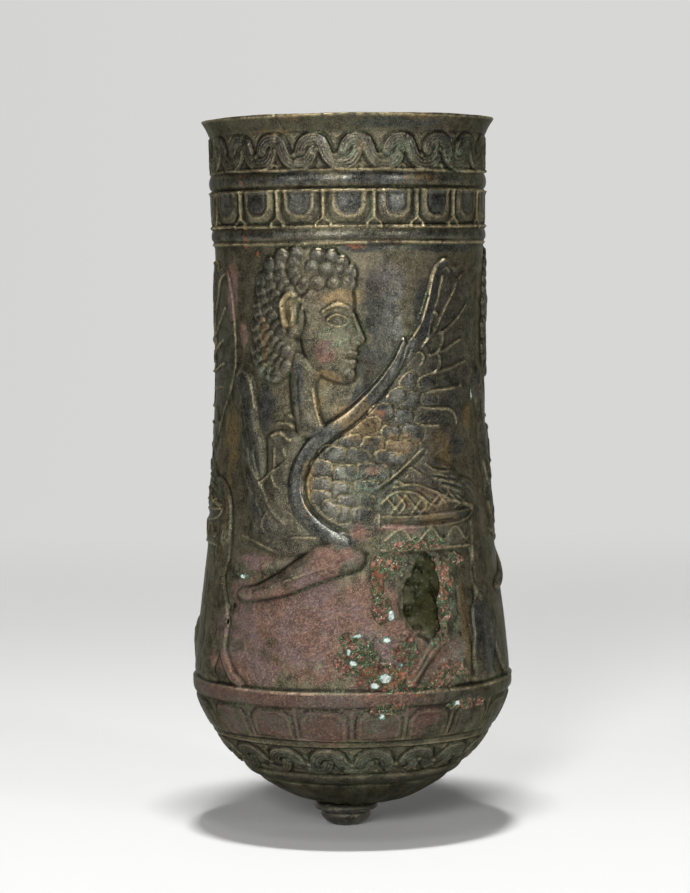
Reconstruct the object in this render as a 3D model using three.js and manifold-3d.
// A bronze situla: a tall beaker hammered from one sheet, with a flared lip, ring
// mouldings, two rows of tongues and a frieze of three winged sphinxes in low relief. A button
// knob is riveted through the middle of its round bottom, over a rove inside.
// Millimetres, +Z up. The origin is on the surface it stands on, below the axis of the body.

import * as THREE from 'three';
import { mergeVertices } from 'three/addons/utils/BufferGeometryUtils.js';
import Module from 'manifold-3d';

const wasm = await Module();
wasm.setup();

// Body
const overallHeight = 160;
const bellyDiameter = 72.8;
const bellyHeight = 33;
const neckDiameter = 61.6;
const taperLength = 33.3;
const taperSharpness = 1.75;
const bowlFullness = 1.55;
const seatDiameter = 16.6;
const sheetThickness = 0.9;
const reliefDepth = 0.6;

// Lip
const lipDiameter = 65.8;
const lipHeight = 4.4;
const lipThickness = 1.8;
const neckFlare = 0.6;

// Bands from the lip down to the frieze, by height
const upperTwistBand = 8.2;
const upperMoulding = 3.9;
const hangingTongueBand = 8.2;
const friezeMoulding = 3.6;

// Bands of the bowl from the belly line down, by height
const groundBandRise = 2.1;
const groundBand = 3.5;
const standingTongueBand = 7.6;
const lineBand = 2.2;
const lowerTwistBand = 7.0;
const baseRing = 2.4;

// What repeats round the body
const figureCount = 3;
const tongueCount = 18;
const tongueWidth = 7.4;
const tongueLift = 0.35;
const hangingTongueTurn = 0;
const standingTongueTurn = 0.5;
const upperTwist = { count: 20, turn: 0.26, lift: 0.35 };
const lowerTwist = { count: 18, turn: 0.5, lift: 0.5 };

// Knob, its rivet and the rove under the rivet's peened head
const knobOffset = -1.7;
const knobRingDiameter = 14.5;
const knobRingHeight = 2.4;
const knobCapDiameter = 11.5;
const knobCapHeight = 3.2;
const knobFootDiameter = 5.2;
const knobGroove = 0.5;
const rivetDiameter = 3.6;
const peenedHeadDiameter = 7.2;
const peenedHeadHeight = 1.6;
const roveDiameter = 12;
const roveThickness = 1.1;
const fitGap = 0.3;

// Corroded hole through the frieze
const holeWidth = 9.6;
const holeHeight = 19;
const holeAcross = 15.3;
const holeMiddle = 55.3;

// Mesh steps
const roundSteps = 40;
const friezeSteps = 7;
const bowlSteps = 3;
const lipSteps = 4;
const insideSteps = 6;
const smallRoundSteps = 24;

const bronze = new THREE.MeshStandardMaterial({ color: 0x5b5344, roughness: 0.55, metalness: 0.85 });
const knobBronze = new THREE.MeshStandardMaterial({ color: 0x4f4a3e, roughness: 0.6, metalness: 0.85 });
const roveBronze = new THREE.MeshStandardMaterial({ color: 0x6a5a3c, roughness: 0.6, metalness: 0.85 });

// Levels worked out from the sizes above
const seatHeight = knobCapHeight + knobRingHeight + fitGap;
const bellyRadius = bellyDiameter / 2;
const neckRadius = neckDiameter / 2;
const seatRadius = seatDiameter / 2;
const bowlDepth = bellyHeight - seatHeight;
const lipFoot = overallHeight - lipHeight;
const upperMouldingTop = lipFoot - upperTwistBand;
const hangingTongueTop = upperMouldingTop - upperMoulding;
const friezeMouldingTop = hangingTongueTop - hangingTongueBand;
const friezeTop = friezeMouldingTop - friezeMoulding;
const friezeFoot = bellyHeight + groundBandRise;
const standingTongueTop = friezeFoot - groundBand;
const lineBandTop = standingTongueTop - standingTongueBand;
const lowerTwistTop = lineBandTop - lineBand;
const baseRingTop = lowerTwistTop - lowerTwistBand;
const baseRingFoot = baseRingTop - baseRing;

// The frieze was drawn on a sheet of this size, one sheet to a figure. Forms below are given in
// its millimetres: across from the middle of the figure, up from the table.
const drawing = { width: 69.1, foot: 35.1, top: 131.9 };

// Crest surface of the wall at one height: the bowl is a quarter of a superellipse that starts at
// the flat seat, and the body above draws in to the neck and flares again towards the lip.
function crest(z) {
  if (z < bellyHeight) {
    const up = (bellyHeight - z) / bowlDepth;
    const out = Math.max(1 - up ** bowlFullness, 0) ** (1 / bowlFullness);
    const radius = seatRadius + (bellyRadius - seatRadius) * out;
    const normal = new THREE.Vector2(
      out ** (bowlFullness - 1) / (bellyRadius - seatRadius),
      -(up ** (bowlFullness - 1)) / bowlDepth,
    );
    return { radius, normal: normal.normalize() };
  }
  const step = 0.01;
  const slope = (bodyRadius(z + step) - bodyRadius(z)) / step;
  return { radius: bodyRadius(z), normal: new THREE.Vector2(1, -slope).normalize() };
}

function bodyRadius(z) {
  const taper = Math.exp(-(((z - bellyHeight) / taperLength) ** taperSharpness));
  const rise = (z - bellyHeight) / (lipFoot - bellyHeight);
  return neckRadius + (bellyRadius - neckRadius) * taper + neckFlare * rise ** 6;
}

// Profile point at a height, sunk below the crest surface square to it
function sunk(z, depth) {
  const { radius, normal } = crest(z);
  return new THREE.Vector2(radius - normal.x * depth, z - normal.y * depth);
}

// A ring moulding stands up to the crest surface between two strips of ground
function moulding(foot, top) {
  const shoulder = (top - foot) * 0.22;
  return [
    sunk(foot, reliefDepth),
    sunk(foot + shoulder, 0),
    sunk(top - shoulder, 0),
    sunk(top, reliefDepth),
  ];
}

// Evenly spaced rows between two levels, without the two ends
function between(foot, top, steps, depth) {
  const rows = [];
  for (let i = 1; i < steps; i += 1) {
    rows.push(sunk(foot + ((top - foot) * i) / steps, depth));
  }
  return rows;
}

// The lip flares outwards like a funnel, thickens, and ends in a round edge. The wall's own rows
// stop at the lip's foot on both sides, so only the edge is drawn here.
function lipEdge() {
  const round = lipThickness / 2;
  const middle = new THREE.Vector2(lipDiameter / 2 - round, overallHeight - round);
  const rows = [];
  for (let i = 0; i <= lipSteps; i += 1) {
    const angle = THREE.MathUtils.degToRad(-45 + (180 * i) / lipSteps);
    rows.push(new THREE.Vector2(
      middle.x + Math.cos(angle) * round,
      middle.y + Math.sin(angle) * round,
    ));
  }
  return rows;
}

function turned(profile, steps) {
  const geometry = new THREE.LatheGeometry(profile, steps);
  geometry.rotateX(Math.PI / 2);
  return geometry;
}

// Joining and cutting on closed meshes
function solid(geometry) {
  const bare = geometry.clone();
  bare.deleteAttribute('normal');
  bare.deleteAttribute('uv');
  const merged = mergeVertices(bare, 1e-4);
  const corners = [];
  for (let i = 0; i < merged.index.count; i += 3) {
    const [a, b, c] = [0, 1, 2].map((k) => merged.index.getX(i + k));
    if (a !== b && b !== c && c !== a) {
      corners.push(a, b, c);
    }
  }
  return new wasm.Manifold(new wasm.Mesh({
    numProp: 3,
    vertProperties: new Float32Array(merged.attributes.position.array),
    triVerts: new Uint32Array(corners),
  }));
}

function geometryOf(body) {
  const mesh = body.getMesh();
  const geometry = new THREE.BufferGeometry();
  geometry.setAttribute('position', new THREE.BufferAttribute(mesh.vertProperties, 3));
  geometry.setIndex(new THREE.BufferAttribute(mesh.triVerts, 1));
  geometry.computeVertexNormals();
  return geometry;
}

// A point on the wall: an angle round the body from the front, a height, and a lift off the
// ground of the relief
function onWall(angle, z, lift) {
  const point = sunk(z, reliefDepth - lift);
  return new THREE.Vector3(point.x * Math.sin(angle), -point.x * Math.cos(angle), point.y);
}

// Closed low form on the wall. Its rows of [angle, height, lift] run across it, and the same rows
// are repeated inside the sheet to give it a root.
function raised(rows) {
  const across = rows[0].length;
  const root = -0.3 * sheetThickness;
  const points = [];
  for (const depth of [null, root]) {
    for (const row of rows) {
      for (const [angle, z, lift] of row) {
        points.push(onWall(angle, z, depth ?? lift));
      }
    }
  }
  const faces = [];
  const quad = (a, b, c, d) => faces.push(a, b, c, a, c, d);
  const under = rows.length * across;
  for (let i = 0; i < rows.length - 1; i += 1) {
    for (let j = 0; j < across - 1; j += 1) {
      const a = i * across + j;
      quad(a, a + 1, a + across + 1, a + across);
      quad(under + a, under + a + across, under + a + across + 1, under + a + 1);
    }
    const left = i * across;
    const right = left + across - 1;
    quad(left, left + across, under + left + across, under + left);
    quad(right, under + right, under + right + across, right + across);
  }
  for (let j = 0; j < across - 1; j += 1) {
    const last = (rows.length - 1) * across + j;
    quad(j, under + j, under + j + 1, j + 1);
    quad(last, last + 1, under + last + 1, under + last);
  }
  const geometry = new THREE.BufferGeometry();
  geometry.setAttribute('position', new THREE.Float32BufferAttribute(
    points.flatMap((point) => point.toArray()),
    3,
  ));
  geometry.setIndex(faces);
  return geometry;
}

// Edges of a band of one width along a spine of [across, up] points: each station is the pair of
// points [across, up, across, up] that face each other, first on the left of the way it runs
function band(spine, width) {
  return spine.map(([u, v], i) => {
    const before = spine[Math.max(i - 1, 0)];
    const after = spine[Math.min(i + 1, spine.length - 1)];
    const along = new THREE.Vector2(after[0] - before[0], after[1] - before[1]).normalize();
    const half = width / 2;
    return [u - along.y * half, v + along.x * half, u + along.y * half, v - along.x * half];
  });
}

// A form of the frieze: its edges are such stations, and its section is an arch of the given
// lift whose two rims stand up by a share of it
function friezeForm({ edges, lift, across, rim = 0.45 }, figureAngle) {
  const scaleUp = (friezeTop - friezeFoot) / (drawing.top - drawing.foot);
  const pitch = (2 * Math.PI) / figureCount;
  const rows = edges.map(([leftU, leftV, rightU, rightV]) => {
    const row = [];
    for (let j = 0; j < across; j += 1) {
      const t = j / (across - 1);
      const u = THREE.MathUtils.lerp(leftU, rightU, t);
      const v = THREE.MathUtils.lerp(leftV, rightV, t);
      row.push([
        figureAngle + (u / drawing.width) * pitch,
        friezeFoot + (v - drawing.foot) * scaleUp,
        lift * (rim + (1 - rim) * 4 * t * (1 - t)),
      ]);
    }
    return row;
  });
  return raised(rows);
}

// Winged sphinx that walks to the left and looks back to the right
const sphinx = [
  // Wing plate, from the shoulder up to the tip
  {
    edges: [
      [-4, 69, 5, 69.6], [-11, 76.4, 8, 76], [-11.6, 81, 14, 80.6], [-9.6, 85.4, 20, 84.6],
      [-5.4, 90, 26.4, 89.4], [3, 96.6, 32, 96.4],
      [12.6, 106, 37, 107], [19.4, 116, 36.4, 117], [25, 128, 32.8, 126.4],
    ],
    lift: 0.5,
    across: 5,
    rim: 1,
  },
  // Rolled leading edge of the wing
  {
    edges: band([
      [-4, 68.6], [-9.6, 72.4], [-12.8, 79], [-9.6, 87.4], [2, 96.4], [11.4, 105.8],
      [19, 116], [24.6, 127.6],
    ], 2.9),
    lift: 0.85,
    across: 3,
  },
  // Trunk, from the belly to the rump
  {
    edges: [
      [-2, 70, -2, 65.2], [5, 76.6, 5, 65.3], [12, 79.4, 12, 65.3], [20, 80.8, 20, 65.3],
      [28, 79.8, 28, 65.4], [35, 74, 35, 67.6],
    ],
    lift: 0.3,
    across: 2,
    rim: 1,
  },
  // Breast
  {
    edges: [
      [-16, 65.2, -5, 65.4], [-23.6, 71, -9, 70.4], [-21.4, 79, -13.4, 79],
      [-20.6, 86, -12, 86], [-19.6, 90.6, -11.6, 90.6],
    ],
    lift: 0.5,
    across: 3,
  },
  // Neck
  {
    edges: [[-12, 90, -6.2, 91], [-13.9, 97, -7.4, 97], [-14, 103, -7.6, 103]],
    lift: 0.7,
    across: 3,
  },
  // Head with its mass of hair: curls down the back on the left, plain face on the right
  {
    edges: [
      [-20.6, 102.2, -1.4, 101.8], [-24.9, 107.6, 2, 106.8], [-24, 115.4, 2, 114.4],
      [-22, 123.4, 1, 121.4], [-18.6, 128.6, -0.4, 127.6], [-13, 130.9, -8, 130.9],
    ],
    lift: 0.92,
    across: 5,
    rim: 0.7,
  },
  // Raised far foreleg
  {
    edges: [
      [-19.6, 68.2, -15.4, 68.4], [-25.4, 73, -18.4, 73.4], [-29, 85, -21.8, 85],
      [-30.4, 94, -24.4, 94], [-32.8, 100, -25, 100.4], [-30.6, 105, -28.2, 105.1],
    ],
    lift: 0.72,
    across: 3,
  },
  // Near foreleg, stretched forwards
  {
    edges: [
      [3.2, 62.6, 3, 64.8], [-2, 60.7, -2.5, 67.7], [-8, 58.7, -9, 65.6],
      [-14, 56.4, -15.6, 61], [-20, 55, -21.6, 57.9], [-26.6, 54.6, -27, 56.4],
    ],
    lift: 0.92,
    across: 3,
  },
  // Hind leg and paw
  {
    edges: [
      [28, 35.8, 36.4, 35.8], [28.8, 45, 38.4, 45], [30.4, 54, 37.6, 54], [31.4, 60, 36.2, 59.4],
      [31, 68, 36.2, 68],
    ],
    lift: 0.55,
    across: 3,
  },
  // Tail, over the rump and down behind the leg
  {
    edges: band([
      [43.4, 36.4], [38.2, 43.4], [37.6, 51], [34.7, 59], [35.8, 72], [31.8, 79], [25, 80],
    ], 2.3),
    lift: 0.68,
    across: 3,
  },
  // Paw of the other hind leg
  {
    edges: [
      [10.9, 36, 12.8, 36], [9.8, 41.6, 16.8, 41.6], [13.2, 47.4, 18.8, 46.4],
    ],
    lift: 0.55,
    across: 3,
  },
];

function figures() {
  const forms = [];
  for (let n = 0; n < figureCount; n += 1) {
    for (const form of sphinx) {
      forms.push(friezeForm(form, (2 * Math.PI * n) / figureCount));
    }
  }
  return forms;
}

// The strands of a twisted band lie over each other like a rope's: each is a bar that runs down
// to the right, drawn on a strip of this pitch and height
const strand = { pitch: 10.4, height: 8.2, width: 3, spine: [[-2, 2.4], [4.4, -2.6]] };

function strands(foot, top, { count, turn, lift }) {
  const turnOf = (x, n) => (2 * Math.PI * (n + turn + x / strand.pitch)) / count;
  const levelOf = (y) => (foot + top) / 2 + (y / strand.height) * (top - foot);
  const forms = [];
  for (let n = 0; n < count; n += 1) {
    forms.push(raised(band(strand.spine, strand.width).map(([x1, y1, x2, y2]) => [
      [turnOf(x1, n), levelOf(y1), lift],
      [turnOf(x2, n), levelOf(y2), lift],
    ])));
  }
  return forms;
}

// A row of tongues: flat tabs with one round end, which hang or stand between two mouldings. The
// first one's middle is turned from the front by a share of the row's pitch.
function tongues(square, round, turn) {
  const reach = round - square;
  const stations = [[0.08, 0.96], [0.66, 0.96], [0.92, 0.42]];
  const forms = [];
  for (let n = 0; n < tongueCount; n += 1) {
    const angle = (2 * Math.PI * (n + turn)) / tongueCount;
    const rows = stations.map(([along, share]) => {
      const z = square + reach * along;
      const half = (share * tongueWidth) / 2 / crest(z).radius;
      return [[angle - half, z, tongueLift], [angle + half, z, tongueLift]];
    });
    forms.push(raised(reach > 0 ? rows : rows.reverse()));
  }
  return forms;
}

// Prism through the wall with a ragged oval outline
function corrodedHole() {
  const pitch = (2 * Math.PI) / figureCount;
  const ragged = [1, 0.86, 0.97, 1.06, 0.9, 0.98, 1.05, 0.84, 0.95, 1.08, 0.92, 1.04];
  const ring = ragged.map((share, i) => {
    const turn = (2 * Math.PI * i) / ragged.length;
    const angle = ((holeAcross + (share * holeWidth * Math.cos(turn)) / 2) / drawing.width) * pitch;
    return [angle, holeMiddle + (share * holeHeight * Math.sin(turn)) / 2];
  });
  const middle = [(holeAcross / drawing.width) * pitch, holeMiddle];
  const points = [];
  for (const share of [0.8, 1.2]) {
    for (const [angle, z] of [...ring, middle]) {
      const radius = crest(z).radius * share;
      points.push(radius * Math.sin(angle), -radius * Math.cos(angle), z);
    }
  }
  const faces = [];
  const outer = ring.length + 1;
  for (let i = 0; i < ring.length; i += 1) {
    const next = (i + 1) % ring.length;
    faces.push(i, next, outer + next, i, outer + next, outer + i);
    faces.push(ring.length, next, i);
    faces.push(outer + ring.length, outer + i, outer + next);
  }
  const geometry = new THREE.BufferGeometry();
  geometry.setAttribute('position', new THREE.Float32BufferAttribute(points, 3));
  geometry.setIndex(faces);
  return geometry;
}

function rivetHole() {
  const radius = rivetDiameter / 2 + fitGap;
  const geometry = new THREE.CylinderGeometry(radius, radius, seatHeight * 2, smallRoundSteps);
  geometry.rotateX(Math.PI / 2);
  geometry.translate(knobOffset, 0, seatHeight);
  return geometry;
}

// The hammered wall: outside rows from the seat up to the lip, then inside rows back down
function wallProfile() {
  const inside = reliefDepth + sheetThickness;
  const outsideRows = [
    new THREE.Vector2(0, seatHeight),
    new THREE.Vector2(seatRadius, seatHeight),
    ...between(seatHeight, baseRingFoot, bowlSteps, reliefDepth / 2),
    ...moulding(baseRingFoot, baseRingTop),
    ...between(baseRingTop, lowerTwistTop, 2, reliefDepth),
    ...moulding(lowerTwistTop, lineBandTop),
    ...between(lineBandTop, standingTongueTop, 2, reliefDepth),
    ...moulding(standingTongueTop, friezeFoot),
    ...between(friezeFoot, friezeTop, friezeSteps, reliefDepth),
    ...moulding(friezeTop, friezeMouldingTop),
    ...moulding(hangingTongueTop, upperMouldingTop),
    sunk(lipFoot, reliefDepth),
  ];
  const insideRows = [
    ...between(seatHeight, bellyHeight, bowlSteps + 1, inside),
    ...between(bellyHeight, lipFoot, insideSteps, inside),
    sunk(lipFoot, inside),
  ].reverse();
  const floor = seatHeight + sheetThickness;
  return [
    ...outsideRows,
    ...lipEdge(),
    ...insideRows,
    new THREE.Vector2(seatRadius, floor),
    new THREE.Vector2(0, floor),
  ];
}

function vesselWall() {
  const wall = solid(turned(wallProfile(), roundSteps));
  const relief = [
    ...figures(),
    ...tongues(hangingTongueTop, friezeMouldingTop, hangingTongueTurn),
    ...tongues(lineBandTop, standingTongueTop, standingTongueTurn),
    ...strands(upperMouldingTop, lipFoot, upperTwist),
    ...strands(baseRingTop, lowerTwistTop, lowerTwist),
  ];
  const chased = relief.reduce((body, form) => body.add(solid(form)), wall);
  return geometryOf(chased.subtract(solid(corrodedHole())).subtract(solid(rivetHole())));
}

// Button knob in one piece with its rivet, whose end is peened over the rove
function baseKnob() {
  const ring = knobRingDiameter / 2;
  const cap = knobCapDiameter / 2;
  const foot = knobFootDiameter / 2;
  const rivet = rivetDiameter / 2;
  const ringFoot = knobCapHeight;
  const ringTop = ringFoot + knobRingHeight;
  const headFoot = roveTop() + fitGap;
  const head = peenedHeadDiameter / 2;
  return turned([
    new THREE.Vector2(0, 0),
    new THREE.Vector2(foot, 0),
    new THREE.Vector2((foot + cap) / 2, 0.11 * knobCapHeight),
    new THREE.Vector2(cap - 0.08 * knobCapHeight, 0.4 * knobCapHeight),
    new THREE.Vector2(cap, 0.72 * knobCapHeight),
    new THREE.Vector2(cap - knobGroove, ringFoot - 0.12 * knobCapHeight),
    new THREE.Vector2(cap - knobGroove, ringFoot),
    new THREE.Vector2(ring - 0.12 * knobRingHeight, ringFoot + 0.08 * knobRingHeight),
    new THREE.Vector2(ring, ringFoot + 0.45 * knobRingHeight),
    new THREE.Vector2(ring - 0.08 * knobRingHeight, ringTop),
    new THREE.Vector2(rivet, ringTop),
    new THREE.Vector2(rivet, headFoot),
    new THREE.Vector2(head, headFoot),
    new THREE.Vector2(0.82 * head, headFoot + 0.6 * peenedHeadHeight),
    new THREE.Vector2(0.4 * head, headFoot + 0.94 * peenedHeadHeight),
    new THREE.Vector2(0, headFoot + peenedHeadHeight),
  ], smallRoundSteps);
}

function roveFoot() {
  return seatHeight + sheetThickness + fitGap;
}

function roveTop() {
  return roveFoot() + roveThickness;
}

// Round rove with a chamfered upper edge, threaded on the rivet
function rove() {
  const bore = rivetDiameter / 2 + fitGap;
  const edge = roveDiameter / 2;
  const chamfer = 0.3 * roveThickness;
  return turned([
    new THREE.Vector2(bore, roveFoot()),
    new THREE.Vector2(edge, roveFoot()),
    new THREE.Vector2(edge, roveTop() - chamfer),
    new THREE.Vector2(edge - chamfer, roveTop()),
    new THREE.Vector2(bore, roveTop()),
    new THREE.Vector2(bore, roveFoot()),
  ], smallRoundSteps);
}

function part(name, geometry, material) {
  const mesh = new THREE.Mesh(geometry, material);
  mesh.name = name;
  return mesh;
}

const situla = new THREE.Group();
situla.add(part('vessel_wall', vesselWall(), bronze));

const knobAndRove = new THREE.Group();
knobAndRove.position.x = knobOffset;
knobAndRove.add(part('base_knob', baseKnob(), knobBronze));
knobAndRove.add(part('rivet_rove', rove(), roveBronze));
situla.add(knobAndRove);

export default situla;
